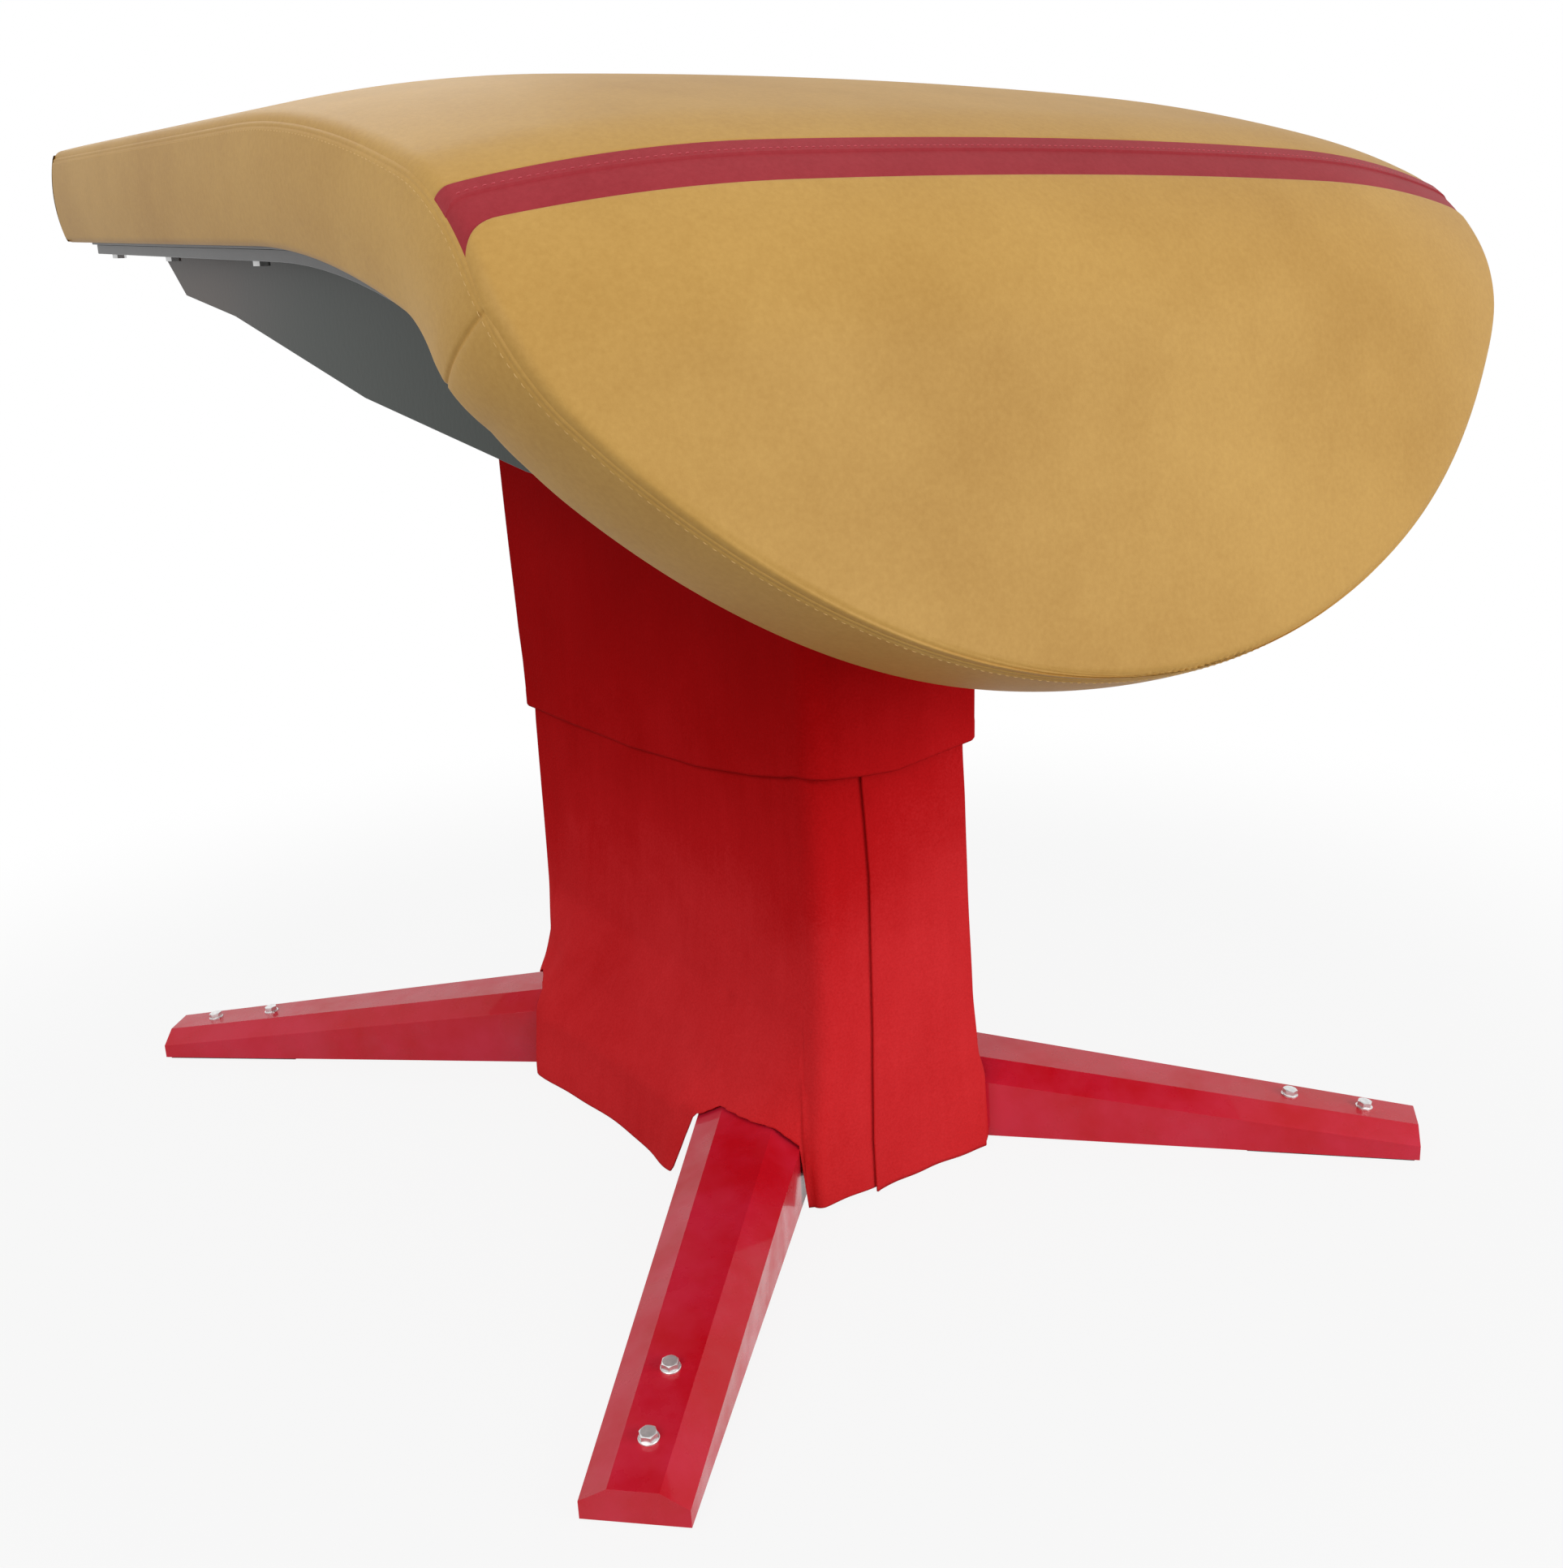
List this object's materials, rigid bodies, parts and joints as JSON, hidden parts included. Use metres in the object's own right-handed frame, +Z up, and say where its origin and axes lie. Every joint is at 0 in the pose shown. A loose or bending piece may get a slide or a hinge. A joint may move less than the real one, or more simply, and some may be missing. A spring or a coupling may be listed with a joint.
{
  "type": "vaulting table",
  "caption": "Gymnastics vaulting table: padded curved body with a front tongue, on a telescopic column hidden by fabric sleeves, with splayed steel legs.",
  "frame": {"origin": "on the floor under the column, midway between the points where the front pair and the rear pair of legs would cross", "axes": "+Z up, +Y away from the run-up (the tongue is at -Y), +X to the gymnast's right"},
  "size_m": [1.0792, 1.2985, 1.0954],
  "materials": {
    "tan_cover": "matt grained cover",
    "red_cover": "matt grained cover",
    "foam": "foam block",
    "board": "bent plywood",
    "black_steel": "satin black paint",
    "grey_shell": "satin grey moulding",
    "red_steel": "high gloss red enamel",
    "bare_steel": "bright drawn steel",
    "chrome": "chrome plate",
    "glide_plastic": "moulded plastic",
    "knob_plastic": "moulded plastic",
    "rubber": "moulded rubber",
    "red_fabric": "red velour"
  },
  "bodies": {
    "base": {"outer_post_front": "black_steel", "outer_post_rear": "black_steel", "upper_glide_front": "glide_plastic", "upper_glide_rear": "glide_plastic", "post_bolts": "bare_steel", "spring_foot_pin": "bare_steel", "spring_fork": "black_steel", "gas_spring_tube": "black_steel", "gas_spring_gland": "bare_steel", "lock_housing": "bare_steel", "base_beam": "black_steel", "beam_end_caps": "black_steel", "leg_root_bolts": "bare_steel", "foot_blocks": "rubber", "foot_washers": "chrome", "foot_bolts": "chrome", "lower_sleeve": "red_fabric", "closing_flap": "red_fabric", "sleeve_frame": "black_steel", "leg_front_left": "red_steel", "leg_front_right": "red_steel", "leg_rear_left": "red_steel", "leg_rear_right": "red_steel"},
    "head": {"pad_board": "board", "foam_pad": "foam", "cover_deck": "tan_cover", "cover_stripe": "red_cover", "cover_tongue": "tan_cover", "band_left": "tan_cover", "band_right": "tan_cover", "band_rear": "tan_cover", "band_tongue": "tan_cover", "base_plate": "black_steel", "plate_rails": "black_steel", "plate_bolts": "bare_steel", "keel_left": "grey_shell", "keel_right": "grey_shell", "keel_rear": "grey_shell", "keel_belly": "grey_shell", "saddle_front": "black_steel", "saddle_rear": "black_steel", "inner_post_front": "bare_steel", "inner_post_rear": "bare_steel", "lower_glide_front": "glide_plastic", "lower_glide_rear": "glide_plastic", "tie_bar": "black_steel", "spring_head_pin": "bare_steel", "gas_spring_rod": "chrome", "upper_sleeve": "red_fabric", "sleeve_rail": "black_steel"},
    "lock": {"lock_plunger": "bare_steel", "lock_knob": "knob_plastic"}
  },
  "joints": [
    {"name": "height_slide", "type": "slide", "parent": "base", "child": "head", "axis": [0, 0, 1], "range_m": [-0.1, 0.25]},
    {"name": "lock_pull", "type": "slide", "parent": "base", "child": "lock", "axis": [0, 1, 0], "range_m": [0, 0.012]}
  ]
}
